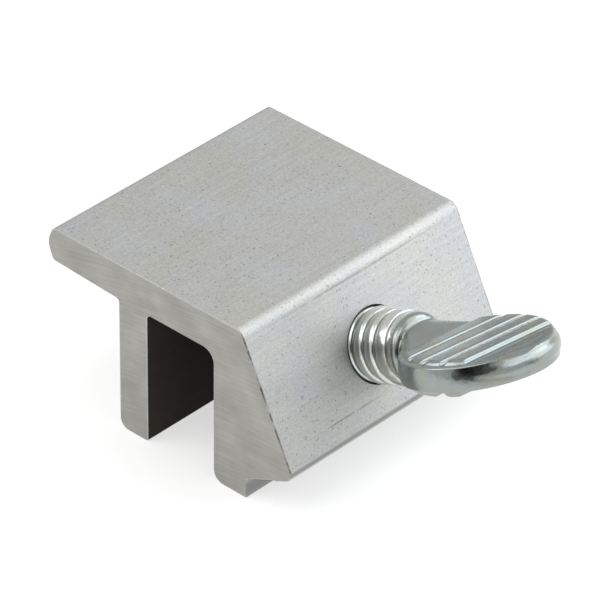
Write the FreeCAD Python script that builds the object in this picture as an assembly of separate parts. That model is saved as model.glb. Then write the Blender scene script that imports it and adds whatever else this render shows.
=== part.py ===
# Sliding window lock: an extruded aluminium saddle that drops over the fin of a window track, and
# the ribbed thumbscrew that clamps it there.
#
# Frame: Z is up and the saddle stands on its two legs at Z = 0. Y runs along the extrusion. X runs
# across it, from the flange on the left to the thumbscrew on the right. The origin is at the middle
# of the slot's mouth. All sizes are in millimetres and degrees.

import FreeCAD, Part
import math
import os

# Saddle: the extruded section, seen along Y
LENGTH = 25.4
HEIGHT = 16.1
SLOT_WIDTH = 7.34
SLOT_DEPTH = 12.6
LEG_WALL = 3.23
FOOT_WALL = 3.7
FLANGE_REACH = 8.15
FLANGE_THICKNESS = 3.2
FLANGE_ROOT_DROP = 0.3
FLANGE_NOSE = 0.65
SHOULDER_WALL = 3.03
SLOPE_ANGLE = 26.2
TOE_HEIGHT = 4.3
TOE_LIP = 2.3
NOTCH_HEIGHT = 1.92
NOTCH_STEP = 0.2

# Saddle: corner radii of the section
FLANGE_TOP_RADIUS = 0.7
FLANGE_NOSE_RADIUS = 1.7
FLANGE_BOTTOM_RADIUS = 0.45
FLANGE_ROOT_RADIUS = 0.35
LEG_OUTER_RADIUS = 0.95
LEG_INNER_RADIUS = 0.3
SLOT_LEFT_RADIUS = 0.4
SLOT_RIGHT_RADIUS = 1.2
FOOT_INNER_RADIUS = 1.05
FOOT_OUTER_RADIUS = 0.2
NOTCH_RADIUS = 0.3
LIP_RADIUS = 0.12
TOE_RADIUS = 0.9
SHOULDER_RADIUS = 1.1

# Thumbscrew: threaded shank, measured along its own axis
SCREW_DIAMETER = 6.35
SCREW_PITCH = 1.27
SCREW_TILT = 22.0
SCREW_HEIGHT = 9.87
THREAD_LENGTH = 12.7
TURNS_SHOWN = 3.5
COLLAR_LENGTH = 0.95
COLLAR_DIAMETER = 5.9
TIP_CHAMFER = 0.7
COLLAR_ROUND = 0.7
BORE_CLEARANCE = 0.08

# Thumbscrew: flat ribbed head
HEAD_TURN = -6.0
HEAD_WIDTH = 12.9
HEAD_THICKNESS = 2.2
HEAD_EDGE_RADIUS = 1.03
HEAD_SUNK = 0.1
NECK_WIDTH = 4.8
NECK_LENGTH = 2.9
NECK_FLAT_ANGLE = 32.0
NECK_END_RISE = 0.15
NECK_END_INSET = 0.25
NECK_END_ROUND = 1.8
RIB_COUNT = 4
RIB_PITCH = 1.9
RIB_WIDTH = 1.45
RIB_HEIGHT = 0.35
RIB_INSET = 0.4
RIB_RADIUS = 0.2
RIB_END_RADIUS = 0.5
LOWER_RIB_WIDTH = 1.25
LOWER_RIB_PAST_CENTRE = 2.05
LOWER_GROOVE_WIDTH = 0.9
LOWER_PAD_WIDTH = 3.6
LOWER_HEIGHT = 0.5
LOWER_RADIUS = 0.45
RIBS_TOWARDS_NECK = 0.27

# A cut or a joined solid reaches this far past the face that it meets.
OVERRUN = 1.0

X = FreeCAD.Vector(1, 0, 0)
Y = FreeCAD.Vector(0, 1, 0)
Z = FreeCAD.Vector(0, 0, 1)


def rounded_outline(corners):
    """Close an outline through (point, radius) corners, each rounded by an arc tangent to both sides."""
    arcs = []
    for index, (corner, radius) in enumerate(corners):
        to_before = (corners[index - 1][0] - corner).normalize()
        to_after = (corners[(index + 1) % len(corners)][0] - corner).normalize()
        half_angle = to_before.getAngle(to_after) / 2
        setback = radius / math.tan(half_angle)
        bisector = (to_before + to_after).normalize()
        start = corner + to_before * setback
        middle = corner + bisector * (radius / math.sin(half_angle) - radius)
        end = corner + to_after * setback
        arcs.append((start, middle, end))
    edges = []
    for index, (start, middle, end) in enumerate(arcs):
        edges.append(Part.LineSegment(arcs[index - 1][2], start).toShape())
        edges.append(Part.Arc(start, middle, end).toShape())
    return Part.Wire(edges)


def slope_x(height):
    """X of the sloped face at a height above the feet."""
    shoulder_x = SLOT_WIDTH / 2 + SHOULDER_WALL
    return shoulder_x + (HEIGHT - height) * math.tan(math.radians(SLOPE_ANGLE))


def notch_corners():
    """Corners of the hooked toe at the foot of the slope and of the notch under it."""
    foot_x = SLOT_WIDTH / 2 + FOOT_WALL
    outwards = (math.cos(math.radians(SLOPE_ANGLE)), math.sin(math.radians(SLOPE_ANGLE)))
    toe = (slope_x(TOE_HEIGHT), TOE_HEIGHT)
    lip = (toe[0] - TOE_LIP * outwards[0], toe[1] - TOE_LIP * outwards[1])
    roof_run = (lip[0] - foot_x) / outwards[0] - NOTCH_STEP
    roof = (foot_x + roof_run * outwards[0], NOTCH_HEIGHT + roof_run * outwards[1])
    return [
        (*toe, TOE_RADIUS),
        (*lip, LIP_RADIUS),
        (*roof, LIP_RADIUS),
        (foot_x, NOTCH_HEIGHT, NOTCH_RADIUS),
        (foot_x, 0.0, FOOT_OUTER_RADIUS),
    ]


def flange_corners():
    """Corners of the flange on the left, from its root at the leg to its blunt tip."""
    leg_x = -SLOT_WIDTH / 2 - LEG_WALL
    tip_x = leg_x - FLANGE_REACH
    under = HEIGHT - FLANGE_THICKNESS
    return [
        (leg_x, under - FLANGE_ROOT_DROP, FLANGE_ROOT_RADIUS),
        (tip_x + FLANGE_NOSE, under, FLANGE_BOTTOM_RADIUS),
        (tip_x, HEIGHT - FLANGE_THICKNESS / 2, FLANGE_NOSE_RADIUS),
        (tip_x + FLANGE_NOSE, HEIGHT, FLANGE_TOP_RADIUS),
    ]


def section_corners():
    """Corners of the whole extruded section, clockwise from the shoulder above the slope."""
    slot = SLOT_WIDTH / 2
    return [
        (slope_x(HEIGHT), HEIGHT, SHOULDER_RADIUS),
        *notch_corners(),
        (slot, 0.0, FOOT_INNER_RADIUS),
        (slot, SLOT_DEPTH, SLOT_RIGHT_RADIUS),
        (-slot, SLOT_DEPTH, SLOT_LEFT_RADIUS),
        (-slot, 0.0, LEG_INNER_RADIUS),
        (-slot - LEG_WALL, 0.0, LEG_OUTER_RADIUS),
        *flange_corners(),
    ]


def screw_placement():
    """Where the thumbscrew sits: its local +X leaves the saddle at the middle of the slope."""
    mouth = FreeCAD.Vector(slope_x(SCREW_HEIGHT), 0, SCREW_HEIGHT)
    tilt = FreeCAD.Rotation(Y, -SCREW_TILT)
    turn = FreeCAD.Rotation(X, HEAD_TURN)
    return FreeCAD.Placement(mouth, tilt * turn)


def shank_end():
    """Local X where the round shank stops and the flat head begins."""
    return TURNS_SHOWN * SCREW_PITCH + COLLAR_LENGTH


def saddle():
    """The extruded body, with the screw's bore from the slope into the slot."""
    corners = [(FreeCAD.Vector(x, -LENGTH / 2, z), radius) for x, z, radius in section_corners()]
    body = Part.Face(rounded_outline(corners)).extrude(Y * LENGTH)
    bore_start = -(slope_x(SCREW_HEIGHT)) / math.cos(math.radians(SCREW_TILT))
    bore_length = shank_end() - bore_start
    bore_radius = SCREW_DIAMETER / 2 + BORE_CLEARANCE
    bore = Part.makeCylinder(bore_radius, bore_length, X * bore_start, X)
    bore.Placement = screw_placement().multiply(bore.Placement)
    return body.cut(bore)


def shank():
    """The round shank: chamfered tip, thread blank, taper, and a collar rounded over at the head."""
    radius = SCREW_DIAMETER / 2
    collar = COLLAR_DIAMETER / 2
    end = shank_end()
    taper_end = end - COLLAR_LENGTH
    tip = taper_end - THREAD_LENGTH
    round_centre = X * (end - COLLAR_ROUND) + Y * (collar - COLLAR_ROUND)
    round_start = round_centre + Y * COLLAR_ROUND
    round_middle = round_centre + (X + Y).normalize() * COLLAR_ROUND
    round_end = round_centre + X * COLLAR_ROUND
    corners = [
        X * end,
        X * tip,
        X * tip + Y * (radius - TIP_CHAMFER),
        X * (tip + TIP_CHAMFER) + Y * radius,
        X * (taper_end - SCREW_PITCH) + Y * radius,
        X * taper_end + Y * collar,
        round_start,
    ]
    lines = [Part.makeLine(a, b) for a, b in zip(corners, corners[1:])]
    arc = Part.Arc(round_start, round_middle, round_end).toShape()
    profile = Part.Wire([*lines, arc, Part.makeLine(round_end, X * end)])
    return Part.Face(profile).revolve(FreeCAD.Vector(), X, 360)


def blade_centre():
    """Where the head's round outline has its centre, along the screw's axis."""
    return shank_end() + HEAD_WIDTH / 2 - HEAD_SUNK


def outline_half_width(x):
    """How far the head's round outline reaches to each side, at this place along the axis."""
    return math.sqrt((HEAD_WIDTH / 2) ** 2 - (blade_centre() - x) ** 2)


def round_section(x, radius):
    """A round section of the neck, as a top arc, a side arc, a bottom arc and a side arc."""
    def point(degrees):
        across, up = math.cos(math.radians(degrees)), math.sin(math.radians(degrees))
        return FreeCAD.Vector(x, radius * across, radius * up)

    low, high = 90 - NECK_FLAT_ANGLE, 90 + NECK_FLAT_ANGLE
    spans = [(high, low), (low, -low), (-low, -high), (-high, -360 + high)]
    arcs = [Part.Arc(point(a), point((a + b) / 2), point(b)).toShape() for a, b in spans]
    return Part.Wire(arcs)


def flat_section(x, half_height, half_width, end_round):
    """A flattened section of the neck: level above and below, with an oval end on each side."""
    side = half_width - end_round
    corner = {}
    ends = {}
    for sign in (1, -1):
        centre = FreeCAD.Vector(x, sign * side, 0)
        top, bottom = centre + Z * half_height, centre - Z * half_height
        corner[sign] = (top, bottom)
        oval = Part.Ellipse(centre + Y * end_round, centre + Z * half_height, centre)
        start = -90 if sign > 0 else 90
        ends[sign] = Part.ArcOfEllipse(oval, math.radians(start), math.radians(start + 180)).toShape()
    top_line = Part.makeLine(corner[-1][0], corner[1][0])
    bottom_line = Part.makeLine(corner[1][1], corner[-1][1])
    return Part.Wire([top_line, ends[1], bottom_line, ends[-1]])


def neck():
    """The neck: round at the shank, flattened and widened to the head's outline at its other end."""
    start = shank_end() - COLLAR_ROUND / 2
    end = shank_end() + NECK_LENGTH
    end_half_width = outline_half_width(end) - NECK_END_INSET
    sections = [
        round_section(start, NECK_WIDTH / 2),
        flat_section(end, HEAD_THICKNESS / 2 + NECK_END_RISE, end_half_width, NECK_END_ROUND),
    ]
    return Part.makeLoft(sections, True, True)


def blade(radius, half, edge_radius):
    """A round flat blade on the head's centre, with its rim rounded over on both faces."""
    disc = Part.makeCylinder(radius, 2 * half, X * blade_centre() - Z * half, Z)
    rims = [edge for edge in disc.Edges if edge.BoundBox.ZLength < half]
    return disc.makeFillet(edge_radius, rims)


def rib_bar(x, width, top, radius):
    """A bar across the whole head, from its middle plane up to a rib's top, with rounded edges."""
    corner = FreeCAD.Vector(x - width / 2, -HEAD_WIDTH, 0)
    bar = Part.makeBox(width, 2 * HEAD_WIDTH, top, corner)
    top_edges = [edge for edge in bar.Edges if edge.BoundBox.ZMin > top / 2 and edge.BoundBox.YLength > width]
    return bar.makeFillet(radius, top_edges)


def upper_ribs():
    """The row of narrow ribs on the upper flat, cut to a thicker blade so that they end at the rim."""
    top = HEAD_THICKNESS / 2 + RIB_HEIGHT
    thick_blade = blade(HEAD_WIDTH / 2 - RIB_INSET, top, RIB_END_RADIUS)
    middle = blade_centre() - RIBS_TOWARDS_NECK
    offsets = [(index - (RIB_COUNT - 1) / 2) * RIB_PITCH for index in range(RIB_COUNT)]
    return [thick_blade.common(rib_bar(middle + offset, RIB_WIDTH, top, RIB_RADIUS)) for offset in offsets]


def lower_ribs():
    """The rib and the broad pad on the lower flat, made on the upper flat and turned over."""
    top = HEAD_THICKNESS / 2 + LOWER_HEIGHT
    thick_blade = blade(HEAD_WIDTH / 2 - RIB_INSET, top, RIB_END_RADIUS)
    rib_x = blade_centre() + LOWER_RIB_PAST_CENTRE
    pad_x = rib_x - LOWER_RIB_WIDTH / 2 - LOWER_GROOVE_WIDTH - LOWER_PAD_WIDTH / 2
    row = [
        thick_blade.common(rib_bar(rib_x, LOWER_RIB_WIDTH, top, LOWER_RADIUS)),
        thick_blade.common(rib_bar(pad_x, LOWER_PAD_WIDTH, top, LOWER_RADIUS)),
    ]
    for rib in row:
        rib.rotate(FreeCAD.Vector(), X, 180)
    return row


def thumbscrew():
    """The one-piece screw: shank, blade and ribs, placed in its bore."""
    plain_blade = blade(HEAD_WIDTH / 2, HEAD_THICKNESS / 2, HEAD_EDGE_RADIUS)
    screw = shank().fuse([neck(), plain_blade, *upper_ribs(), *lower_ribs()]).removeSplitter()
    screw.Placement = screw_placement()
    return screw


def main():
    """Write one file for each piece."""
    os.makedirs("parts", exist_ok=True)
    pieces = {"saddle": saddle(), "thumbscrew": thumbscrew()}
    for name, shape in pieces.items():
        solid = shape.Solids[0]
        assert len(shape.Solids) == 1 and solid.isValid(), name
        solid.exportStep(f"parts/{name}.step")
        print(name, f"{solid.Volume:.1f} mm3", solid.BoundBox)


main()
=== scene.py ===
"""Sliding window lock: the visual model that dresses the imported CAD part.

Everything is in metres, in the part's own frame: +Y runs along the track slot, +X points across
it to the thumbscrew, and +Z is up, with the feet on the floor.
"""

import logging
import math
from collections.abc import Callable
from dataclasses import dataclass, field
from enum import IntEnum
from typing import Any

import bmesh
import bpy
from mathutils import Matrix, Vector


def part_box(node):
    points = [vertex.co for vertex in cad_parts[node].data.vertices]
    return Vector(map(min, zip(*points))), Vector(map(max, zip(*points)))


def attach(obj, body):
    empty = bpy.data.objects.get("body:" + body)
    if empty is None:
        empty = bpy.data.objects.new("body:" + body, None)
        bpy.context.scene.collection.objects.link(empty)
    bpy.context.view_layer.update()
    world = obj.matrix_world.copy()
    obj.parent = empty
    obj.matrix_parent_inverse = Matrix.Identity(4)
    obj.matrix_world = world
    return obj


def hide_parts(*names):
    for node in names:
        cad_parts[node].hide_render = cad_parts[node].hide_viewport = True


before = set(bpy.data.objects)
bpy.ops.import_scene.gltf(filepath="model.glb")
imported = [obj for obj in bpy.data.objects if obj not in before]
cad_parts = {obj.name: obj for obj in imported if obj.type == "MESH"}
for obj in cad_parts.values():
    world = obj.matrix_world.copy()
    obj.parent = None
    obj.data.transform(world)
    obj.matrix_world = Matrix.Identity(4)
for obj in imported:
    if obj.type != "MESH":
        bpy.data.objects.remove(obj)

Material = bpy.types.Material
Piece = bpy.types.Object
Socket = bpy.types.NodeSocket
Tree = bpy.types.NodeTree

LOG = logging.getLogger("window_lock")
MM = 0.001
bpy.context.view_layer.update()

# How near two points are taken as one: at a cut, in a CAD copy, and at a turned skin's seam.
CUT_SLACK = 0.0001 * MM
CAD_MERGE = 0.0005 * MM
SEAM_MERGE = 0.001 * MM

# The sockets of a Mix node that blends colours, which share their names with its other sockets.
MIX_SHARE, MIX_FIRST, MIX_SECOND, MIX_RESULT = 0, 6, 7, 2

WHITE = "#FFFFFF"


def linear(colour: str) -> tuple[float, float, float, float]:
    """Turn an sRGB hex value into the linear colour that a shader reads.

    Args:
        colour: A hex value such as "#C0C2BE".

    Returns:
        Linear red, green, blue and an alpha of one.
    """
    parts = [int(colour[at:at + 2], 16) / 255 for at in (1, 3, 5)]
    # The two branches of the sRGB curve.
    red, green, blue = (p / 12.92 if p <= 0.04045 else ((p + 0.055) / 1.055) ** 2.4 for p in parts)
    return red, green, blue, 1.0


def per_metre(size_mm: float) -> float:
    """Texture scale at which a pattern on Object coordinates repeats at a size in millimetres."""
    return 1 / (size_mm * MM)


def add_node(
    tree: Tree,
    kind: str,
    settings: dict[str, Any] | None = None,
    inputs: dict[str | int, Any] | None = None,
) -> bpy.types.Node:
    """Add a node with its settings, its input values and the links into it.

    Args:
        tree: The node tree that gets the node.
        kind: The node's type name, without the ShaderNode that it begins with.
        settings: The node's own properties.
        inputs: Input sockets by name or number, each with a value or the output that feeds it.

    Returns:
        The new node.
    """
    node = tree.nodes.new("ShaderNode" + kind)
    for name, value in (settings or {}).items():
        setattr(node, name, value)
    for key, value in (inputs or {}).items():
        if isinstance(value, Socket):
            tree.links.new(value, node.inputs[key])
        else:
            node.inputs[key].default_value = value
    return node


def ends(side: str, span: tuple[float, float]) -> dict[str, float]:
    """Name the two ends of a span as a Map Range node does, for its From or its To."""
    return {f"{side} Min": span[0], f"{side} Max": span[1]}


def new_material(name: str) -> tuple[Material, Tree]:
    """Make a material with an empty node tree.

    Args:
        name: The material's name.

    Returns:
        The material and its node tree.
    """
    material = bpy.data.materials.new(name)
    material.use_nodes = True
    material.node_tree.nodes.clear()
    return material, material.node_tree


def end_material(
    tree: Tree, height: Socket, relief: tuple[float, float], inputs: dict[str, Any],
) -> None:
    """End a material with its relief, its shader and its output.

    Args:
        tree: The material's node tree.
        height: The output that the relief follows.
        relief: The relief's strength, from 0 to 1, and its depth in millimetres.
        inputs: The shader's other inputs, by name.
    """
    strength, depth_mm = relief
    bump = add_node(tree, "Bump", inputs={
        "Height": height, "Strength": strength, "Distance": depth_mm * MM})
    shader = add_node(tree, "BsdfPrincipled", inputs={
        **inputs, "Normal": bump.outputs["Normal"]})
    add_node(tree, "OutputMaterial", inputs={"Surface": shader.outputs["BSDF"]})


@dataclass(frozen=True)
class DieLineOrPaintedShade:
    """A long dark band along Y at one place of the profile, used both for die lines and for
    painted shade.

    Attributes:
        middle_mm: The mark's middle in the part's frame.
        half_width_mm: How far from its middle it fades out, across Y.
        half_length_mm: How far from its middle it ends, along Y.
        depth: How dark it is, from 0 to 1.
        gaps: Share of its length that is missing, from 0 to 1.
        core: Share of its width, about its middle, that has its full depth.
        noise: Lowest value of the noise that breaks it, how far that noise reaches, and the
            part of that reach over which the mark fades at a gap.
    """

    middle_mm: tuple[float, float, float]
    half_width_mm: float
    half_length_mm: float
    depth: float
    gaps: float
    core: float = 0.4
    noise: tuple[float, float, float] = (0.2, 0.6, 0.08)

    def build(self, tree: Tree, point: Socket, breaks: Socket) -> Socket:
        """Add the mark to a material.

        Args:
            tree: The material's node tree.
            point: The Object coordinates.
            breaks: The noise that breaks the mark.

        Returns:
            How dark the mark is at a point, from 0 to 1.
        """
        reach = Vector((self.half_width_mm, self.half_length_mm, self.half_width_mm)) * MM
        stretch = Vector(1 / r for r in reach)
        start = Vector(-m * MM / r for m, r in zip(self.middle_mm, reach))
        arm = add_node(tree, "VectorMath", {"operation": "MULTIPLY_ADD"}, {
            0: point, 1: stretch, 2: start})
        away = add_node(tree, "VectorMath", {"operation": "LENGTH"}, {0: arm.outputs[0]})
        inside = add_node(tree, "MapRange", inputs={
            "Value": away.outputs["Value"], "From Min": 1.0, "From Max": self.core,
            "To Max": self.depth})
        lowest, span, fade = self.noise
        gap_end = lowest + span * self.gaps
        whole = add_node(tree, "MapRange", inputs={
            "Value": breaks, "From Min": gap_end, "From Max": gap_end + fade})
        broken = add_node(tree, "Math", {"operation": "MULTIPLY"}, {
            0: inside.outputs["Result"], 1: whole.outputs["Result"]})
        return broken.outputs[0]


@dataclass(frozen=True)
class MillAluminium:
    """Extruded aluminium as it leaves the die: satin grey, faintly streaked and specked with pits,
    with painted shade along the slope's foot and on the notch wall.

    Attributes:
        warm, cool: Colours of the clouds of oxide.
        pit, pit_cover: Colour of pits, die lines and painted shade, and how far it covers the
            metal, from 0 to 1.
        roughness, roughness_swing: Mean roughness, and how far it varies to each side.
        anisotropy: How much more the metal scatters light across its drawing lines.
        cloud_mm, cloud_noise: Size of the clouds, and the noise from the warmest to the coolest.
        gloss_noise: The same noise from the glossiest cloud to the dullest.
        streak_mm, streak_share: Width and length of the drawing streaks, and how much they
            count beside the grain.
        grain_mm: Size of the oxide's grain, about as fine as the render can show.
        texture_noise, texture_swing: Streaks and grain together from the darkest spot to the
            palest, and how far those are from the mean.
        line_mm, line_noise: Width and length of the rare die lines, and the noise over which
            one fades in.
        pit_cell_mm, pit_radius_mm: Size of the cells, of which about one in three holds a pit,
            and a pit's mean radius.
        pit_edge: Shares of that radius over which a pit fades in.
        pit_ragged_mm: Size of the noise that frays a pit's edge, and how far it moves it.
        pit_noise: Values over which a cell's pit fades in.
        crowd_mm: Size of the areas where pits crowd.
        break_mm: Distance between the gaps of a die mark.
        die_lines_and_painted_shade: Die lines and painted shade at known places of the profile.
        relief: Strength of the relief and its depth in millimetres.
    """

    warm: str = "#BABAB3"
    cool: str = "#B8B9B9"
    pit: str = "#7A7B75"
    pit_cover: float = 0.75
    roughness: float = 0.48
    roughness_swing: float = 0.04
    anisotropy: float = 0.6
    cloud_mm: float = 5.0
    cloud_noise: tuple[float, float] = (0.35, 0.65)
    gloss_noise: tuple[float, float] = (0.3, 0.7)
    streak_mm: tuple[float, float] = (0.16, 9.0)
    streak_share: float = 0.4
    grain_mm: float = 0.16
    texture_noise: tuple[float, float] = (0.5, 0.9)
    texture_swing: float = 0.12
    line_mm: tuple[float, float] = (0.28, 14.0)
    line_noise: tuple[float, float] = (0.77, 0.9)
    pit_cell_mm: float = 0.34
    pit_radius_mm: float = 0.08
    pit_edge: tuple[float, float] = (1.25, 0.5)
    pit_ragged_mm: tuple[float, float] = (0.18, 0.3)
    pit_noise: tuple[float, float] = (0.84, 1.3)
    crowd_mm: float = 7.5
    break_mm: float = 2.0
    die_lines_and_painted_shade: tuple[DieLineOrPaintedShade, ...] = (
        DieLineOrPaintedShade((7.07, 0.0, 15.35), 0.13, 12.5, 0.6, 0.27),
        DieLineOrPaintedShade((11.49, -5.0, 6.37), 0.12, 4.4, 0.8, 0.36),
        # Painted shade: a dark band along the foot of the slope, where it turns under towards the
        # floor.
        DieLineOrPaintedShade((12.2, 0.0, 4.68), 0.3, 60.0, 0.85, 0.0),
        # Painted shade: a dark band on the notch wall under the slope's overhang.
        DieLineOrPaintedShade((7.37, 0.0, 0.9), 1.1, 60.0, 0.85, 0.0),
    )
    relief: tuple[float, float] = (0.35, 0.02)

    def drawn_noise(
        self, tree: Tree, point: Socket, size_mm: tuple[float, float], detail: float,
    ) -> Socket:
        """Add noise that is drawn out along Y.

        Args:
            tree: The material's node tree.
            point: The Object coordinates.
            size_mm: The noise's width and its length along Y.
            detail: How many finer layers it has.

        Returns:
            The noise.
        """
        across, along = size_mm
        drawn = add_node(tree, "Mapping", inputs={
            "Vector": point, "Scale": (per_metre(across), per_metre(along), per_metre(across))})
        noise = add_node(tree, "TexNoise", inputs={
            "Vector": drawn.outputs["Vector"], "Scale": 1.0, "Detail": detail})
        return noise.outputs["Fac"]

    def pits(self, tree: Tree, point: Socket) -> Socket:
        """Add the pits, ragged discs that crowd in some areas.

        Args:
            tree: The material's node tree.
            point: The Object coordinates.

        Returns:
            How dark a pit is at a point, from 0 to 1.
        """
        ragged_mm, wander_mm = self.pit_ragged_mm
        ragged = add_node(tree, "TexNoise", inputs={
            "Vector": point, "Scale": per_metre(ragged_mm), "Detail": 1.0})
        wander = add_node(tree, "VectorMath", {"operation": "MULTIPLY_ADD"}, {
            0: ragged.outputs["Color"], 1: (wander_mm * MM,) * 3, 2: point})
        cells = add_node(tree, "TexVoronoi", inputs={
            "Vector": wander.outputs[0], "Scale": per_metre(self.pit_cell_mm)})
        cell_value = add_node(tree, "SeparateColor", inputs={0: cells.outputs["Color"]})
        radius = self.pit_radius_mm / self.pit_cell_mm
        disc = add_node(tree, "MapRange", inputs={
            "Value": cells.outputs["Distance"],
            "From Min": radius * self.pit_edge[0], "From Max": radius * self.pit_edge[1]})
        crowd = add_node(tree, "TexNoise", inputs={
            "Vector": point, "Scale": per_metre(self.crowd_mm), "Detail": 1.0})
        picked = add_node(tree, "Math", {"operation": "ADD"}, {
            0: cell_value.outputs[0], 1: crowd.outputs["Fac"]})
        chosen = add_node(tree, "MapRange", inputs={
            "Value": picked.outputs[0],
            **ends("From", self.pit_noise)})
        pits = add_node(tree, "Math", {"operation": "MULTIPLY"}, {
            0: disc.outputs["Result"], 1: chosen.outputs["Result"]})
        return pits.outputs[0]

    def marks(self, tree: Tree, point: Socket) -> Socket:
        """Add all that is dark: the pits, the rare die lines, and the die lines and painted shade
        at known places.

        Args:
            tree: The material's node tree.
            point: The Object coordinates.

        Returns:
            How dark a point is, from 0 to 1.
        """
        lines = add_node(tree, "MapRange", inputs={
            "Value": self.drawn_noise(tree, point, self.line_mm, 1.0),
            **ends("From", self.line_noise)})
        breaks = add_node(tree, "TexNoise", inputs={
            "Vector": point, "Scale": per_metre(self.break_mm), "Detail": 4.0, "Roughness": 0.7})
        darkest = self.pits(tree, point)
        known = [mark.build(tree, point, breaks.outputs["Fac"]) for mark in self.die_lines_and_painted_shade]
        for more in (lines.outputs["Result"], *known):
            darker = add_node(tree, "Math", {"operation": "MAXIMUM"}, {
                0: darkest, 1: more})
            darkest = darker.outputs[0]
        return darkest

    def build(self) -> Material:
        """Make the material.

        Returns:
            A node material on Object coordinates.
        """
        material, tree = new_material("mill_extruded_aluminium")
        point = add_node(tree, "TexCoord").outputs["Object"]
        # Oxide clouds a few millimetres wide, from warm to cool grey.
        clouds = add_node(tree, "TexNoise", inputs={
            "Vector": point, "Scale": per_metre(self.cloud_mm), "Detail": 3.0, "Roughness": 0.55})
        cloud = add_node(tree, "MapRange", inputs={
            "Value": clouds.outputs["Fac"],
            **ends("From", self.cloud_noise)})
        base = add_node(tree, "Mix", {"data_type": "RGBA"}, {
            MIX_SHARE: cloud.outputs["Result"],
            MIX_FIRST: linear(self.warm), MIX_SECOND: linear(self.cool)})
        # Drawing streaks, as fine as the die's polish across and long along Y, and the grain.
        faint = add_node(tree, "Math", {"operation": "MULTIPLY"}, {
            0: self.drawn_noise(tree, point, self.streak_mm, 2.0), 1: self.streak_share})
        grain = add_node(tree, "TexNoise", inputs={
            "Vector": point, "Scale": per_metre(self.grain_mm), "Detail": 2.0, "Roughness": 0.7})
        texture = add_node(tree, "Math", {"operation": "ADD"}, {
            0: faint.outputs[0], 1: grain.outputs["Fac"]})
        level = add_node(tree, "MapRange", {"clamp": False}, {
            "Value": texture.outputs[0],
            **ends("From", self.texture_noise),
            "To Min": 1 - self.texture_swing, "To Max": 1 + self.texture_swing})
        toned = add_node(tree, "HueSaturation", inputs={
            "Color": base.outputs[MIX_RESULT], "Value": level.outputs["Result"]})
        marks = self.marks(tree, point)
        # Pits, die lines and painted shade pull the colour towards the pit colour.
        darkened = add_node(tree, "Math", {"operation": "MULTIPLY"}, {
            0: marks, 1: self.pit_cover})
        colour = add_node(tree, "Mix", {"data_type": "RGBA"}, {
            MIX_SHARE: darkened.outputs[0],
            MIX_FIRST: toned.outputs["Color"], MIX_SECOND: linear(self.pit)})
        gloss = add_node(tree, "MapRange", {"clamp": False}, {
            "Value": clouds.outputs["Fac"],
            **ends("From", self.gloss_noise),
            "To Min": self.roughness - self.roughness_swing,
            "To Max": self.roughness + self.roughness_swing})
        height = add_node(tree, "Math", {"operation": "SUBTRACT"}, {
            0: texture.outputs[0], 1: marks})
        # The drawing lines run along Y, so light scatters a quarter turn from them.
        lines_along = add_node(tree, "VectorTransform", {
            "vector_type": "VECTOR", "convert_from": "OBJECT", "convert_to": "WORLD"}, {
            0: (0.0, 1.0, 0.0)})
        end_material(tree, height.outputs[0], self.relief, {
            "Base Color": colour.outputs[MIX_RESULT], "Metallic": 1.0,
            "Roughness": gloss.outputs["Result"], "Anisotropic": self.anisotropy,
            "Anisotropic Rotation": 0.25, "Tangent": lines_along.outputs[0]})
        return material


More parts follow.
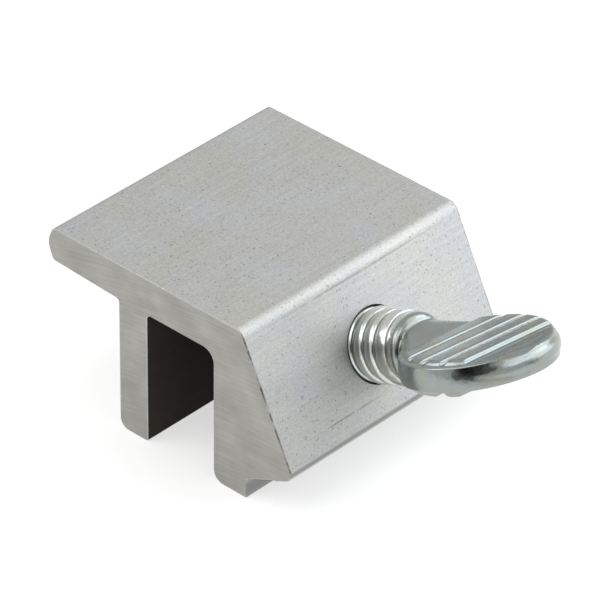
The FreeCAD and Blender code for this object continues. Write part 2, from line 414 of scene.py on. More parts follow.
@dataclass(frozen=True)
class SawnAluminium:
    """Aluminium cut by a circular saw: fine, slightly curved kerf lines, nearly level on the end.

    Attributes:
        light, dark: Colours of the palest and the darkest kerf lines.
        roughness: The cut's roughness.
        spindle_mm: The saw's spindle in X and Z, far below the part.
        kerf_mm, kerf_arc: Distance between kerf lines, and their length in radians about the
            spindle.
        patch_mm: Size of the paler and darker patches.
        tone_noise: Kerf and patch together from the darkest spot to the palest.
        relief: Strength of the relief and its depth in millimetres.
    """

    light: str = "#ACABA6"
    dark: str = "#94938E"
    roughness: float = 0.42
    spindle_mm: tuple[float, float] = (18.0, -118.0)
    kerf_mm: float = 0.13
    kerf_arc: float = 0.045
    patch_mm: float = 3.2
    tone_noise: tuple[float, float] = (0.7, 1.3)
    relief: tuple[float, float] = (0.45, 0.03)

    def build(self) -> Material:
        """Make the material.

        Returns:
            A node material on Object coordinates.
        """
        material, tree = new_material("saw_cut_aluminium")
        point = add_node(tree, "TexCoord").outputs["Object"]
        # The blade's tooth marks are arcs about its spindle.
        spindle = Vector((self.spindle_mm[0] * MM, 0, self.spindle_mm[1] * MM))
        arm = add_node(tree, "VectorMath", {"operation": "SUBTRACT"}, {
            0: point, 1: spindle})
        axes = add_node(tree, "SeparateXYZ", inputs={0: arm.outputs[0]})
        flat = add_node(tree, "CombineXYZ", inputs={
            "X": axes.outputs["X"], "Z": axes.outputs["Z"]})
        radius = add_node(tree, "VectorMath", {"operation": "LENGTH"}, {
            0: flat.outputs[0]})
        angle = add_node(tree, "Math", {"operation": "ARCTAN2"}, {
            0: axes.outputs["X"], 1: axes.outputs["Z"]})
        arcs = add_node(tree, "Math", {"operation": "DIVIDE"}, {
            0: angle.outputs[0], 1: self.kerf_arc})
        rings = add_node(tree, "Math", {"operation": "MULTIPLY"}, {
            0: radius.outputs["Value"], 1: per_metre(self.kerf_mm)})
        kerf_point = add_node(tree, "CombineXYZ", inputs={
            "X": arcs.outputs[0], "Y": rings.outputs[0], "Z": axes.outputs["Y"]})
        kerf = add_node(tree, "TexNoise", inputs={
            "Vector": kerf_point.outputs[0], "Scale": 1.0, "Detail": 2.5, "Roughness": 0.6})
        patches = add_node(tree, "TexNoise", inputs={
            "Vector": point, "Scale": per_metre(self.patch_mm), "Detail": 2.0})
        tone = add_node(tree, "Math", {"operation": "ADD"}, {
            0: kerf.outputs["Fac"], 1: patches.outputs["Fac"]})
        level = add_node(tree, "MapRange", inputs={
            "Value": tone.outputs[0],
            **ends("From", self.tone_noise)})
        colour = add_node(tree, "Mix", {"data_type": "RGBA"}, {
            MIX_SHARE: level.outputs["Result"],
            MIX_FIRST: linear(self.dark), MIX_SECOND: linear(self.light)})
        end_material(tree, kerf.outputs["Fac"], self.relief, {
            "Base Color": colour.outputs[MIX_RESULT], "Metallic": 1.0,
            "Roughness": self.roughness})
        return material


@dataclass(frozen=True)
class DarkSawnEdge:
    """The narrow bevel between a sawn end and the slope: dark aluminium, paler in patches.

    Attributes:
        edge_dark, edge_pale: Colours of the dark edge and of its paler patches.
        roughness: The edge's roughness.
        patch_mm, edge_pale_noise: Distance over which the dark edge comes and goes, and the noise
            over which it turns paler.
        relief: Strength of the relief and its depth in millimetres.
    """

    edge_dark: str = "#696762"
    edge_pale: str = "#B4B3AE"
    roughness: float = 0.6
    patch_mm: float = 1.3
    edge_pale_noise: tuple[float, float] = (0.42, 0.6)
    relief: tuple[float, float] = (0.5, 0.05)

    def build(self) -> Material:
        """Make the material.

        Returns:
            A node material on Object coordinates.
        """
        material, tree = new_material("dark_sawn_edge_aluminium")
        point = add_node(tree, "TexCoord").outputs["Object"]
        patches = add_node(tree, "TexNoise", inputs={
            "Vector": point, "Scale": per_metre(self.patch_mm), "Detail": 4.0, "Roughness": 0.7})
        edge_pale = add_node(tree, "MapRange", inputs={
            "Value": patches.outputs["Fac"],
            **ends("From", self.edge_pale_noise)})
        colour = add_node(tree, "Mix", {"data_type": "RGBA"}, {
            MIX_SHARE: edge_pale.outputs["Result"],
            MIX_FIRST: linear(self.edge_dark), MIX_SECOND: linear(self.edge_pale)})
        end_material(tree, patches.outputs["Fac"], self.relief, {
            "Base Color": colour.outputs[MIX_RESULT], "Metallic": 1.0,
            "Roughness": self.roughness})
        return material


@dataclass(frozen=True)
class PaintedSlotShade:
    """Painted shade inside the slot: a matt, warm near-black that stands for its deep shade, a
    little uneven.

    Attributes:
        full, thin: Colours of the deepest and of the faintest painted shade.
        roughness, shine: Its roughness, and its specular level, low for a matt surface.
        shade_streak_mm: Distance between streaks in the painted shade, and their length along the
            slot.
        relief: Strength of the relief and its depth in millimetres.
    """

    full: str = "#36312D"
    thin: str = "#403A36"
    roughness: float = 0.85
    shine: float = 0.25
    shade_streak_mm: tuple[float, float] = (0.5, 6.0)
    relief: tuple[float, float] = (0.3, 0.02)

    def build(self) -> Material:
        """Make the material.

        Returns:
            A node material on Object coordinates.
        """
        material, tree = new_material("painted_shade_in_slot")
        point = add_node(tree, "TexCoord").outputs["Object"]
        across, along = self.shade_streak_mm
        shade_stretch = add_node(tree, "Mapping", inputs={
            "Vector": point, "Scale": (per_metre(across), per_metre(along), per_metre(across))})
        shade_grain = add_node(tree, "TexNoise", inputs={
            "Vector": shade_stretch.outputs["Vector"], "Scale": 1.0, "Detail": 2.0})
        # The near-black colour is painted shade, streaked a little along the slot.
        colour = add_node(tree, "Mix", {"data_type": "RGBA"}, {
            MIX_SHARE: shade_grain.outputs["Fac"],
            MIX_FIRST: linear(self.full), MIX_SECOND: linear(self.thin)})
        end_material(tree, shade_grain.outputs["Fac"], self.relief, {
            "Base Color": colour.outputs[MIX_RESULT], "Roughness": self.roughness,
            "Specular IOR Level": self.shine})
        return material


@dataclass(frozen=True)
class ZincPlate:
    """Bright zinc plate on steel: bluish-green grey, crisp highlights, slightly hazy and uneven.

    Attributes:
        name: The material's name.
        cool, warm: Colours of the patches of passivation.
        roughness, roughness_swing: Mean roughness, and how far it falls in the clearest patch
            and rises in the haziest.
        haze_mm: Size of a patch.
        tint_noise, gloss_noise: The noise from the coolest patch to the warmest, and from the
            clearest to the haziest.
        stain, speck_mm: Colour and size of the specks where the plate is thin.
        speck_noise, speck_cover: The noise over which a speck fades in, and how far a full one
            covers the plate, from 0 to 1.
        peel_mm: Distance between the dents of the steel under the plate.
        relief: Strength of those dents and their depth in millimetres.
    """

    name: str = "zinc_plate_painted_darker_on_head"
    # These colours are the head's, darker than the thread's copy of the same plate: painted shade
    # on the head's flats.
    cool: str = "#969F9E"
    warm: str = "#989C94"
    stain: str = "#6E6259"
    roughness: float = 0.24
    roughness_swing: tuple[float, float] = (0.05, 0.06)
    haze_mm: float = 1.6
    tint_noise: tuple[float, float] = (0.4, 0.62)
    gloss_noise: tuple[float, float] = (0.3, 0.7)
    speck_mm: float = 0.14
    speck_noise: tuple[float, float] = (0.62, 0.75)
    speck_cover: float = 0.25
    peel_mm: float = 0.45
    relief: tuple[float, float] = (0.25, 0.06)

    def build(self) -> Material:
        """Make the material.

        Returns:
            A node material on Object coordinates.
        """
        material, tree = new_material(self.name)
        point = add_node(tree, "TexCoord").outputs["Object"]
        # Passivation tints the plate in patches a millimetre or two wide.
        haze = add_node(tree, "TexNoise", inputs={
            "Vector": point, "Scale": per_metre(self.haze_mm), "Detail": 3.0})
        tint = add_node(tree, "MapRange", inputs={
            "Value": haze.outputs["Fac"],
            **ends("From", self.tint_noise)})
        base = add_node(tree, "Mix", {"data_type": "RGBA"}, {
            MIX_SHARE: tint.outputs["Result"],
            MIX_FIRST: linear(self.cool), MIX_SECOND: linear(self.warm)})
        specks = add_node(tree, "TexNoise", inputs={
            "Vector": point, "Scale": per_metre(self.speck_mm), "Detail": 1.5})
        speck = add_node(tree, "MapRange", inputs={
            "Value": specks.outputs["Fac"], **ends("From", self.speck_noise),
            "To Max": self.speck_cover})
        colour = add_node(tree, "Mix", {"data_type": "RGBA"}, {
            MIX_SHARE: speck.outputs["Result"],
            MIX_FIRST: base.outputs[MIX_RESULT], MIX_SECOND: linear(self.stain)})
        gloss = add_node(tree, "MapRange", {"clamp": False}, {
            "Value": haze.outputs["Fac"],
            **ends("From", self.gloss_noise),
            "To Min": self.roughness - self.roughness_swing[0],
            "To Max": self.roughness + self.roughness_swing[1]})
        # The forged steel under the plate is not quite flat.
        peel = add_node(tree, "TexNoise", inputs={
            "Vector": point, "Scale": per_metre(self.peel_mm), "Detail": 2.0})
        end_material(tree, peel.outputs["Fac"], self.relief, {
            "Base Color": colour.outputs[MIX_RESULT], "Metallic": 1.0,
            "Roughness": gloss.outputs["Result"]})
        return material


def deselect_all() -> None:
    """Leave nothing selected, in object mode."""
    if bpy.context.object and bpy.context.object.mode != "OBJECT":
        bpy.ops.object.mode_set(mode="OBJECT")
    bpy.ops.object.select_all(action="DESELECT")


def pick(piece: Piece) -> None:
    """Make a piece the only selected object, and the active one.

    Args:
        piece: The piece to pick.
    """
    deselect_all()
    piece.select_set(True)
    bpy.context.view_layer.objects.active = piece


def edit(piece: Piece, mode: str = "FACE", action: str = "SELECT") -> bmesh.types.BMesh:
    """Enter edit mode on a piece.

    Args:
        piece: The mesh to edit.
        mode: VERT, EDGE or FACE.
        action: SELECT to begin with all of it selected, DESELECT to begin with nothing.

    Returns:
        The mesh as it is edited.
    """
    pick(piece)
    bpy.ops.object.mode_set(mode="EDIT")
    bpy.ops.mesh.select_mode(type=mode)
    bpy.ops.mesh.select_all(action=action)
    return bmesh.from_edit_mesh(piece.data)


def select_edges(piece: Piece, wanted: Callable[[bmesh.types.BMEdge], bool]) -> int:
    """Enter edit mode and select the edges that a test picks.

    Args:
        piece: The mesh to edit.
        wanted: Whether an edge is picked.

    Returns:
        How many edges are selected.
    """
    mesh = edit(piece, "EDGE", "DESELECT")
    picked = [edge for edge in mesh.edges if wanted(edge)]
    for edge in picked:
        edge.select_set(True)
    bmesh.update_edit_mesh(piece.data)
    return len(picked)


def cut_off(place: tuple[float, float, float] | Vector, normal: Vector | tuple) -> None:
    """Cut off what lies beyond a plane, in edit mode, and close the cut.

    Args:
        place: A point on the plane.
        normal: The plane's normal, which points at what goes.
    """
    bpy.ops.mesh.select_all(action="SELECT")
    bpy.ops.mesh.bisect(
        plane_co=place, plane_no=normal, use_fill=True, clear_outer=True, threshold=CUT_SLACK)


def copy_of_node(node: str, name: str) -> Piece:
    """Copy a CAD node's mesh to a new piece and merge its loose triangles.

    Args:
        node: The CAD node's name.
        name: The new piece's name.

    Returns:
        The new piece, with its place in its mesh.
    """
    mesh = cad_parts[node].data.copy()
    mesh.materials.clear()
    piece = bpy.data.objects.new(name, mesh)
    bpy.context.scene.collection.objects.link(piece)
    edit(piece, "VERT")
    bpy.ops.mesh.remove_doubles(threshold=CAD_MERGE)
    bpy.ops.mesh.customdata_custom_splitnormals_clear()
    bpy.ops.object.mode_set(mode="OBJECT")
    return piece


def apply_modifier(piece: Piece, kind: str, **settings: Any) -> None:
    """Add a modifier with its settings and apply it.

    Args:
        piece: The mesh that gets it.
        kind: The modifier's type.
        settings: The modifier's properties.
    """
    pick(piece)
    modifier = piece.modifiers.new(kind.lower(), kind)
    for name, value in settings.items():
        setattr(modifier, name, value)
    bpy.ops.object.modifier_apply(modifier=modifier.name)


class SaddleFinish(IntEnum):
    """The saddle's finishes, in the order of its material slots."""

    MILL = 0
    SAWN = 1
    # Painted shade, a near-black on the slot's inner walls.
    PAINT = 2
    # A darker edge between a sawn end and the slope.
    BURR = 3


@dataclass
class Saddle:
    """The extruded saddle: mill-finish sides, sawn ends and painted shade, a near-black, on the
    slot's inner walls.

    Attributes:
        node: The CAD node that it dresses.
        half_length: Half its length along Y.
        slot_half_width, slot_top: Half the slot's width, and the height of its ceiling.
        painted_shade_bottom: Height above the feet where the painted shade begins.
        edge_break, edge_steps: Width of the broken edge round a sawn end, and faces across it.
        slack: How near a point is taken as on a surface.
        flat_angle, sharp_angle, smooth_angle: Degrees under which faces become one, over which
            an end's edge is broken, and over which shading keeps an edge.
        end_tilt: Least share of Y in the normal of an end face.
        dark_edge_tilt: Least shares of X, Y and Z in the normal of an edge that is darkened.
        bare_tilt: Share of Y in the normal above which an edge of the slot stays without painted
            shade.
        inner_lean: Greatest share of Z in the normal of a face inside the slot.
    """

    node: str = "saddle"
    half_length: float = 12.7 * MM
    slot_half_width: float = 3.67 * MM
    slot_top: float = 12.6 * MM
    painted_shade_bottom: float = 0.2 * MM
    edge_break: float = 0.11 * MM
    edge_steps: int = 2
    slack: float = 0.02 * MM
    flat_angle: float = 0.4
    sharp_angle: float = 60.0
    smooth_angle: float = 50.0
    end_tilt: float = 0.95
    dark_edge_tilt: tuple[float, float, float] = (0.25, 0.2, 0.1)
    bare_tilt: float = 0.8
    inner_lean: float = 0.2

    def is_sawn_edge(self, edge: bmesh.types.BMEdge) -> bool:
        """Whether an edge runs round one of the sawn ends.

        Args:
            edge: An edge of the saddle.

        Returns:
            True if it does, and two faces meet there at a sharp angle.
        """
        at_end = all(abs(abs(v.co.y) - self.half_length) < self.slack for v in edge.verts)
        sharp = math.radians(self.sharp_angle)
        return at_end and len(edge.link_faces) == 2 and edge.calc_face_angle(0) > sharp

    def finish_of(self, face: bpy.types.MeshPolygon) -> SaddleFinish:
        """Which finish a face has, from its place and normal.

        Args:
            face: A face of the saddle.

        Returns:
            The finish.
        """
        normal, middle = face.normal, face.center
        tilt = abs(normal.y)
        if tilt > self.end_tilt:
            return SaddleFinish.SAWN
        dark_edge_x, dark_edge_y, dark_edge_z = self.dark_edge_tilt
        if tilt > dark_edge_y and normal.x > dark_edge_x and normal.z > dark_edge_z:
            return SaddleFinish.BURR
        # The slot's inner walls get the painted shade.
        between_legs = abs(middle.x) < self.slot_half_width + self.slack
        in_slot = between_legs and self.painted_shade_bottom < middle.z < self.slot_top + self.slack
        if in_slot and tilt < self.bare_tilt and normal.z < self.inner_lean:
            return SaddleFinish.PAINT
        return SaddleFinish.MILL

    def build(self) -> Piece:
        """Copy the CAD saddle, break its sawn edges and dress it.

        Returns:
            The finished piece.
        """
        piece = copy_of_node(self.node, "saddle_body")
        edit(piece)
        bpy.ops.mesh.dissolve_limited(angle_limit=math.radians(self.flat_angle))
        bpy.ops.object.mode_set(mode="OBJECT")
        count = select_edges(piece, self.is_sawn_edge)
        bpy.ops.mesh.bevel(
            offset=self.edge_break, segments=self.edge_steps, profile=0.5, affect="EDGES")
        bpy.ops.object.mode_set(mode="OBJECT")
        LOG.info("saddle: %d sawn edges broken", count)
        for finish in (MillAluminium(), SawnAluminium(), PaintedSlotShade(), DarkSawnEdge()):
            piece.data.materials.append(finish.build())
        for face in piece.data.polygons:
            face.material_index = self.finish_of(face)
        pick(piece)
        bpy.ops.object.shade_smooth_by_angle(angle=math.radians(self.smooth_angle))
        apply_modifier(piece, "WEIGHTED_NORMAL", mode="FACE_AREA", weight=100, keep_sharp=True)
        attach(piece, "saddle")
        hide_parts(self.node)
        return piece


@dataclass
class Thread:
    """The screw's rolled thread, one helical ridge with a wide crest and a narrow root.

    Attributes:
        radius, depth: Radius at the crest, and the crest's height above the root.
        pitch: Advance for each turn.
        root, flank: Width of the root and of a flank, along the screw.
        dome, dome_power: How far the crest's shoulders lie below its middle, and how flat the
            dome is between them.
        dome_places: Points of half the dome, from its shoulder at 0 to its middle at 1.
        tip, tip_chamfer: Where the screw ends in the slot, along local X, and its chamfer.
        end: Where the thread's solid ends in the head.
        run_out: Where the blank begins and ends its taper down to the collar.
        collar_radius: Radius of the plain collar.
        blank_over: How much wider than the crest the blank is, so as not to trim it.
        root_at, root_angle: Place of one root along local X, and its angle there in degrees.
        steps: Segments for each turn.
        spare_turns: Turns at each end that are cut off again.
    """

    radius: float = 3.17 * MM
    pitch: float = 1.27 * MM
    depth: float = 0.46 * MM
    root: float = 0.06 * MM
    flank: float = 0.11 * MM
    dome: float = 0.15 * MM
    dome_power: float = 2.4
    dome_places: tuple[float, ...] = (0.0, 0.12, 0.28, 0.5, 0.75, 1.0)
    tip: float = -8.255 * MM
    end: float = 4.7 * MM
    tip_chamfer: float = 0.7 * MM
    run_out: tuple[float, float] = (2.9 * MM, 4.1 * MM)
    collar_radius: float = 2.93 * MM
    blank_over: float = 0.05 * MM
    root_at: float = -0.12 * MM
    root_angle: float = 67.5
    steps: int = 72
    spare_turns: int = 1

    def profile(self) -> list[tuple[float, float]]:
        """One pitch of the thread's outline.

        Returns:
            Points as (distance along the screw from the middle of the root, radius).
        """
        floor = self.radius - self.depth
        half_root = self.root / 2
        shoulder = half_root + self.flank
        half_crest = self.pitch / 2 - shoulder
        dome = [
            (shoulder + half_crest * part,
             self.radius - self.dome * (1 - part) ** self.dome_power)
            for part in self.dome_places]
        half = [(0.0, floor), (half_root, floor), *dome]
        return half + [(self.pitch - at, height) for at, height in reversed(half[:-1])]

    def turned(
        self, name: str, points: list[tuple[float, float]], advance: float, turns: int,
    ) -> Piece:
        """Draw a profile and turn it about local X.

        Args:
            name: The new object's name.
            points: The profile, as (distance along X, radius).
            advance: Distance that a turn moves along X.
            turns: How many turns.

        Returns:
            The turned skin.
        """
        deselect_all()
        # The profile grows from one point, which a small plane is merged to.
        bpy.ops.mesh.primitive_plane_add(size=0.1 * MM, location=(0, 0, 0))
        skin = bpy.context.object
        skin.name = name
        edit(skin, "VERT")
        bpy.ops.mesh.merge(type="CENTER")
        bpy.ops.transform.translate(value=(*points[0], 0))
        for (at, height), (next_at, next_height) in zip(points, points[1:]):
            bpy.ops.mesh.extrude_vertices_move(
                TRANSFORM_OT_translate={"value": (next_at - at, next_height - height, 0)})
        bpy.ops.object.mode_set(mode="OBJECT")
        apply_modifier(
            skin, "SCREW", axis="X", screw_offset=advance, angle=math.tau, steps=self.steps,
            render_steps=self.steps, iterations=turns, use_merge_vertices=True,
            merge_threshold=SEAM_MERGE)
        edit(skin)
        bpy.ops.mesh.remove_doubles(threshold=SEAM_MERGE)
        bpy.ops.mesh.normals_make_consistent(inside=False)
        bpy.ops.object.mode_set(mode="OBJECT")
        return skin

    def blank(self) -> Piece:
        """Turn the rod before threading: a chamfered tip, a straight length and a taper.

        Returns:
            A closed rod along local X, with the collar at its end.
        """
        over = self.radius + self.blank_over
        start, end = self.run_out
        return self.turned("blank", [
            (self.tip, 0),
            (self.tip, over - self.tip_chamfer),
            (self.tip + self.tip_chamfer, over),
            (start, over),
            (end, self.collar_radius),
            (self.end, self.collar_radius),
            (self.end, 0),
        ], 0, 1)

    def build(self) -> Piece:
        """Wind the outline into a thread, cut it to length and trim it to the turned blank.

        Returns:
            A closed rod along local X.
        """
        roots_to_tip = math.ceil((self.root_at - self.tip) / self.pitch)
        first = self.root_at - self.pitch * (roots_to_tip + self.spare_turns)
        turns = math.ceil((self.end - self.tip) / self.pitch) + 2 * self.spare_turns
        outline = [(first + at, height) for at, height in self.profile()]
        rod = self.turned("thread", outline, self.pitch, turns)
        rod.data.transform(Matrix.Rotation(math.radians(self.root_angle), 4, "X"))
        # The cuts lie just past both ends of the blank, which gives the rod its final length.
        past = self.pitch / 4
        edit(rod)
        for place, side in ((self.tip - past, -1), (self.end + past, 1)):
            cut_off((place, 0, 0), (side, 0, 0))
        bpy.ops.mesh.select_all(action="SELECT")
        bpy.ops.mesh.normals_make_consistent(inside=False)
        bpy.ops.object.mode_set(mode="OBJECT")
        blank = self.blank()
        apply_modifier(rod, "BOOLEAN", operation="INTERSECT", object=blank, solver="EXACT")
        bpy.data.objects.remove(blank)
        return rod


@dataclass
class Thumbscrew:
    """The one-piece thumbscrew: a threaded shank and a flat, ribbed head, plated bright zinc.

    Attributes:
        node: The CAD node that it dresses.
        mouth: Where the screw's axis meets the saddle's slope, the origin of its own frame.
        tilt, turn: Degrees that the axis rises from X, and that the head is turned about it.
        collar: Where the head is cut from the shank, along local X.
        blade_centre: Middle of the round blade, along local X.
        rim_radius, rim_bulge: Radii of the rim's barrel round the blade and of its bulge.
        rim_height, rim_round: The rim's height, and the rounding of its two edges.
        rim_offset: How far the rim's middle lies from the blade's, along local X and Y.
        rim_drop: How far below the blade's middle plane the rim is widest.
        rim_mesh, rim_steps: Segments round its sphere and from pole to pole, and faces across
            each rounding.
        corner_angle, smooth_angle: Degrees over which an edge of the rim is rounded, and over
            which shading keeps an edge.
        voxel: Cell of the mesh that joins the head and the rim in one skin.
        smoothing: Strength and repeats of the softening that stands for the plate.
        slack: How far the trimmed head stays inside the CAD node's box.
        thread, thread_finish: The threaded shank, and its smoother copy of the plate, paler than
            the head's, whose darker colour is painted shade.
    """

    node: str = "thumbscrew"
    mouth: tuple[float, float, float] = (9.7655 * MM, 0.0, 9.87 * MM)
    tilt: float = 22.0
    turn: float = -6.0
    collar: float = 4.5 * MM
    blade_centre: float = 11.745 * MM
    rim_radius: float = 6.46 * MM
    rim_height: float = 2.16 * MM
    rim_bulge: float = 4.0 * MM
    rim_round: float = 0.24 * MM
    rim_offset: tuple[float, float] = (-0.12 * MM, -0.1 * MM)
    rim_drop: float = 0.28 * MM
    rim_mesh: tuple[int, int] = (160, 96)
    rim_steps: int = 4
    corner_angle: float = 40.0
    voxel: float = 0.08 * MM
    smoothing: tuple[float, int] = (0.5, 2)
    slack: float = 0.01 * MM
    smooth_angle: float = 35.0
    thread: Thread = field(default_factory=Thread)
    # The thread's copy of the plate is paler; the head's darker colour is painted shade.
    thread_finish: ZincPlate = ZincPlate(
        "zinc_plate_on_rolled_thread", "#D0D7D5", "#CFD2CA", roughness=0.2)

    def placement(self) -> Matrix:
        """Find the screw's own frame, with local X out of the saddle.

        Returns:
            What takes it to the part's frame.
        """
        tilted = Matrix.Rotation(math.radians(-self.tilt), 4, "Y")
        turned = Matrix.Rotation(math.radians(self.turn), 4, "X")
        return Matrix.Translation(self.mouth) @ tilted @ turned

    def head(self) -> Piece:
        """Cut the collar and head from a copy of the CAD node and lay them along local X.

        Returns:
            A closed mesh in the screw's own frame.
        """
        piece = copy_of_node(self.node, "thumbscrew_one_piece")
        piece.data.transform(self.placement().inverted())
        edit(piece)
        cut_off((self.collar, 0, 0), (-1, 0, 0))
        bpy.ops.object.mode_set(mode="OBJECT")
        return piece

    def rim(self) -> Piece:
        """Make the pressed rim: a barrel round the blade, flatter than the edge that it covers.

        Returns:
            A closed band in the screw's own frame.
        """
        deselect_all()
        squash = math.sqrt(self.rim_bulge / self.rim_radius)
        along, across = self.rim_offset
        segments, rings = self.rim_mesh
        bpy.ops.mesh.primitive_uv_sphere_add(
            segments=segments, ring_count=rings, radius=self.rim_radius, scale=(1, 1, squash),
            location=(self.blade_centre + along, across, -self.rim_drop))
        band = bpy.context.object
        bpy.ops.object.transform_apply(location=True, rotation=True, scale=True)
        edit(band)
        for side in (-1, 1):
            cut_off((0, 0, side * self.rim_height / 2), (0, 0, side))
        bpy.ops.object.mode_set(mode="OBJECT")
        corner = math.radians(self.corner_angle)
        select_edges(band, lambda edge: edge.calc_face_angle(0) > corner)
        bpy.ops.mesh.bevel(
            offset=self.rim_round, segments=self.rim_steps, profile=0.5, affect="EDGES")
        bpy.ops.object.mode_set(mode="OBJECT")
        return band

    def trim(self, piece: Piece) -> None:
        """Shave what the band adds beyond the furthest and highest point of the CAD node.

        Args:
            piece: The head in the screw's own frame.
        """
        corner = Vector(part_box(self.node)[1])
        to_local = self.placement().inverted()
        edit(piece)
        for axis in (Vector((1, 0, 0)), Vector((0, 0, 1))):
            cut_off(to_local @ (corner - axis * self.slack), to_local.to_3x3() @ axis)
        bpy.ops.object.mode_set(mode="OBJECT")

    def build(self) -> Piece:
        """Join thread and head in one skin, soften it as plating does, and put it in its bore.

        Returns:
            The finished piece.
        """
        piece = self.head()
        rim = self.rim()
        deselect_all()
        for part in (rim, piece):
            part.select_set(True)
        bpy.context.view_layer.objects.active = piece
        bpy.ops.object.join()
        apply_modifier(piece, "REMESH", mode="VOXEL", voxel_size=self.voxel, adaptivity=0.0)
        self.trim(piece)
        strength, repeats = self.smoothing
        apply_modifier(piece, "SMOOTH", factor=strength, iterations=repeats)
        piece.data.materials.clear()
        piece.data.materials.append(ZincPlate().build())
        thread = self.thread.build()
        thread.data.materials.append(self.thread_finish.build())
        apply_modifier(
            piece, "BOOLEAN", operation="UNION", object=thread, solver="EXACT",
            material_mode="TRANSFER")
        bpy.data.objects.remove(thread)
        piece.data.transform(self.placement())
        pick(piece)
        bpy.ops.object.shade_smooth_by_angle(angle=math.radians(self.smooth_angle))
        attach(piece, "thumbscrew")
        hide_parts(self.node)
        return piece


@dataclass(frozen=True)
class Softbox:
    """A soft lamp that looks at the part.

    Attributes:
        name: The lamp's name.
        towards: Direction from the part to the lamp.
        distance: Metres from the part.
        size: Width and height in metres.
        power: Watts.
        tint: The light's sRGB colour.
    """

    name: str
    towards: tuple[float, float, float]
    distance: float
    size: tuple[float, float]
    power: float
    tint: str = WHITE

    def build(self, aim: Vector) -> Piece:
        """Hang the lamp and turn it to the part.

        Args:
            aim: The point that it looks at.

        Returns:
            The lamp.
        """
        lamp = bpy.data.lights.new(self.name, "AREA")
        lamp.shape = "RECTANGLE"
        lamp.size, lamp.size_y = self.size
        lamp.energy = self.power
        lamp.color = linear(self.tint)[:3]
        holder = bpy.data.objects.new(self.name, lamp)
        direction = Vector(self.towards).normalized()
        holder.location = aim + direction * self.distance
        holder.rotation_euler = direction.to_track_quat("Z", "Y").to_euler()
        bpy.context.scene.collection.objects.link(holder)
        return holder


@dataclass(frozen=True)
class Flag:
    """A grey card that only shows as a reflection, as a studio's dark corners do.

    Attributes:
        name: The card's name.
        towards: Direction from the part to the card.
        distance: Metres from the part.
        size: Width and height in metres.
        tone: The card's sRGB colour.
    """

    name: str
    towards: tuple[float, float, float]
    distance: float
    size: tuple[float, float]
    tone: str

    def build(self, aim: Vector) -> Piece:
        """Stand the card up, facing the part.

        Args:
            aim: The point that it faces.

        Returns:
            The card.
        """
        deselect_all()
        bpy.ops.mesh.primitive_plane_add(size=1.0)
        card = bpy.context.object
        card.name = self.name
        direction = Vector(self.towards).normalized()
        card.scale = (*self.size, 1.0)
        card.rotation_euler = direction.to_track_quat("Z", "Y").to_euler()
        card.location = aim + direction * self.distance
        bpy.ops.object.transform_apply(location=True, rotation=True, scale=True)
        material, tree = new_material(self.name + "_card")
        glow = add_node(tree, "Emission", inputs={
            "Color": linear(self.tone), "Strength": 1.0})
        add_node(tree, "OutputMaterial", inputs={"Surface": glow.outputs[0]})
        card.data.materials.append(material)
        card.visible_camera = False
        card.visible_diffuse = False
        card.visible_shadow = False
        card.visible_transmission = False
        return card


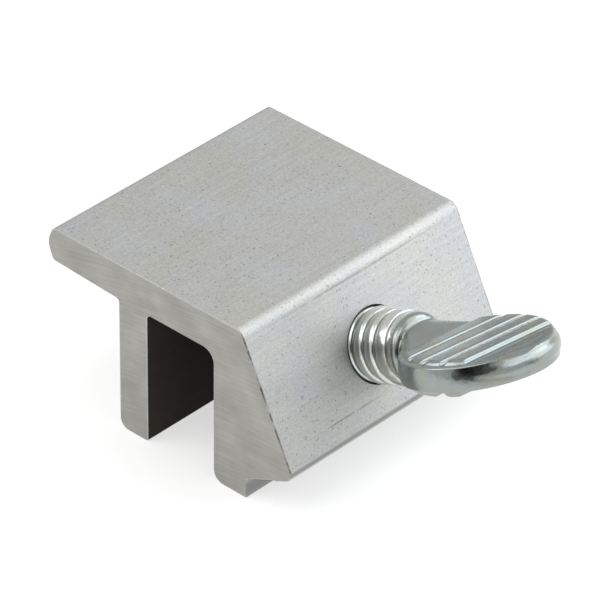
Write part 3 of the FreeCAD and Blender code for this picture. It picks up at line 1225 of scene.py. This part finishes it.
@dataclass
class Studio:
    """Camera at the photograph's angle, a pale floor and plain soft light.

    Attributes:
        azimuth, elevation, roll: Degrees that the camera stands round from -Y towards +X,
            looks down, and leans about its line of sight.
        distance: Metres from the camera to the point that it looks at.
        aim_right, aim_up: How far that point lies right of the part's origin and above it, as
            the camera sees it.
        lens: Focal length in millimetres.
        clip: Nearest and furthest distance that the camera shows.
        world_strength: Brightness of the light tent.
        floor_size, floor_colour: The floor's side in metres, and its sRGB colour.
        floor_glow: What makes the floor show white to the camera and in reflections.
        softboxes, flags: The lamps and the cards.
    """

    azimuth: float = 42.76
    elevation: float = 34.89
    roll: float = 0.62
    distance: float = 422.17 * MM
    aim_right: float = 1.00 * MM
    aim_up: float = 7.79 * MM
    lens: float = 306.6
    clip: tuple[float, float] = (0.01, 20.0)
    world_strength: float = 0.77
    floor_size: float = 6.0
    floor_colour: str = "#BCBCBB"
    floor_glow: float = 0.56
    softboxes: list[Softbox] = field(default_factory=lambda: [
        Softbox("back_softbox", (0.13, 0.64, 0.76), 0.55, (0.32, 0.6), 0.62),
        Softbox("right_softbox", (0.55, 0.8, 0.42), 0.25, (0.2, 0.2), 0.21, "#EDF3FF"),
        Softbox("side_softbox", (0.72, 0.16, 0.66), 0.5, (0.3, 0.24), 0.32, "#F0F2FF"),
        Softbox("front_softbox", (0.0, -0.5, 0.87), 0.5, (0.2, 0.4), 0.4),
        Softbox("left_softbox", (-0.56, -0.55, 0.58), 0.5, (0.3, 0.3), 0.5),
    ])
    flags: list[Flag] = field(default_factory=lambda: [
        Flag("camera_side_flag", (0.39, -0.68, 0.62), 0.55, (0.5, 0.52), "#0C0A09"),
        Flag("low_front_flag", (0.512, -0.775, 0.37), 0.0826, (0.04, 0.04), "#0C0908"),
        Flag("right_flag", (0.8, 0.6, -0.02), 0.3, (0.2, 0.1), "#6C7272"),
        Flag("back_flag", (-0.72, 0.69, 0.0), 0.12, (0.1, 0.04), "#8A9290"),
    ])

    def axes(self) -> tuple[Vector, Vector, Vector]:
        """Work out how the camera is turned.

        Returns:
            Its right, up and backward directions.
        """
        azimuth, elevation, roll = (
            math.radians(angle) for angle in (self.azimuth, self.elevation, self.roll))
        away = math.cos(elevation)
        back = Vector((math.sin(azimuth) * away, -math.cos(azimuth) * away, math.sin(elevation)))
        level = Vector((math.cos(azimuth), math.sin(azimuth), 0))
        upright = back.cross(level)
        right = math.cos(roll) * level + math.sin(roll) * upright
        return right, back.cross(right), back

    def camera(self) -> Vector:
        """Set up the camera.

        Returns:
            The point that it looks at.
        """
        right, up, back = self.axes()
        aim = right * self.aim_right + up * self.aim_up
        lens = bpy.data.cameras.new("camera")
        lens.lens = self.lens
        lens.clip_start, lens.clip_end = self.clip
        holder = bpy.data.objects.new("camera", lens)
        place = Matrix((right, up, back)).transposed().to_4x4()
        place.translation = aim + back * self.distance
        holder.matrix_world = place
        bpy.context.scene.collection.objects.link(holder)
        bpy.context.scene.camera = holder
        return aim

    def floor(self) -> None:
        """Lay a pale floor that shows white, also in reflections, and keeps the part's shadow."""
        deselect_all()
        bpy.ops.mesh.primitive_plane_add(size=self.floor_size)
        floor = bpy.context.object
        floor.name = "floor"
        material, tree = new_material("white_card_floor")
        ray = add_node(tree, "LightPath")
        seen = add_node(tree, "Math", {"operation": "MAXIMUM"}, {
            0: ray.outputs["Is Camera Ray"], 1: ray.outputs["Is Glossy Ray"]})
        shown = add_node(tree, "Math", {"operation": "MAXIMUM"}, {
            0: seen.outputs[0], 1: ray.outputs["Is Transmission Ray"]})
        lift = add_node(tree, "Math", {"operation": "MULTIPLY"}, {
            0: shown.outputs[0], 1: self.floor_glow})
        matt = add_node(tree, "BsdfDiffuse", inputs={"Color": linear(self.floor_colour)})
        glow = add_node(tree, "Emission", inputs={
            "Color": linear(WHITE), "Strength": lift.outputs[0]})
        both = add_node(tree, "AddShader", inputs={0: matt.outputs[0], 1: glow.outputs[0]})
        add_node(tree, "OutputMaterial", inputs={"Surface": both.outputs[0]})
        floor.data.materials.append(material)

    def world(self) -> None:
        """Surround the part with a light tent of plain white."""
        world = bpy.data.worlds.new("light_tent")
        world.use_nodes = True
        tree = world.node_tree
        tree.nodes.clear()
        tent = add_node(tree, "Background", inputs={
            "Color": linear(WHITE), "Strength": self.world_strength})
        add_node(tree, "OutputWorld", inputs={"Surface": tent.outputs[0]})
        bpy.context.scene.world = world

    def build(self) -> None:
        """Set up the camera, floor, world, lamps and cards."""
        aim = self.camera()
        self.floor()
        self.world()
        for softbox in self.softboxes:
            softbox.build(aim)
        for flag in self.flags:
            flag.build(aim)
        bpy.context.scene.view_settings.view_transform = "Standard"


def main() -> None:
    """Build the part's pieces and the studio."""
    logging.basicConfig(level=logging.INFO, format="%(name)s %(message)s")
    for maker in (Saddle(), Thumbscrew()):
        piece = maker.build()
        LOG.info("%s: %d faces", piece.name, len(piece.data.polygons))
    Studio().build()


if __name__ == "__main__":
    main()
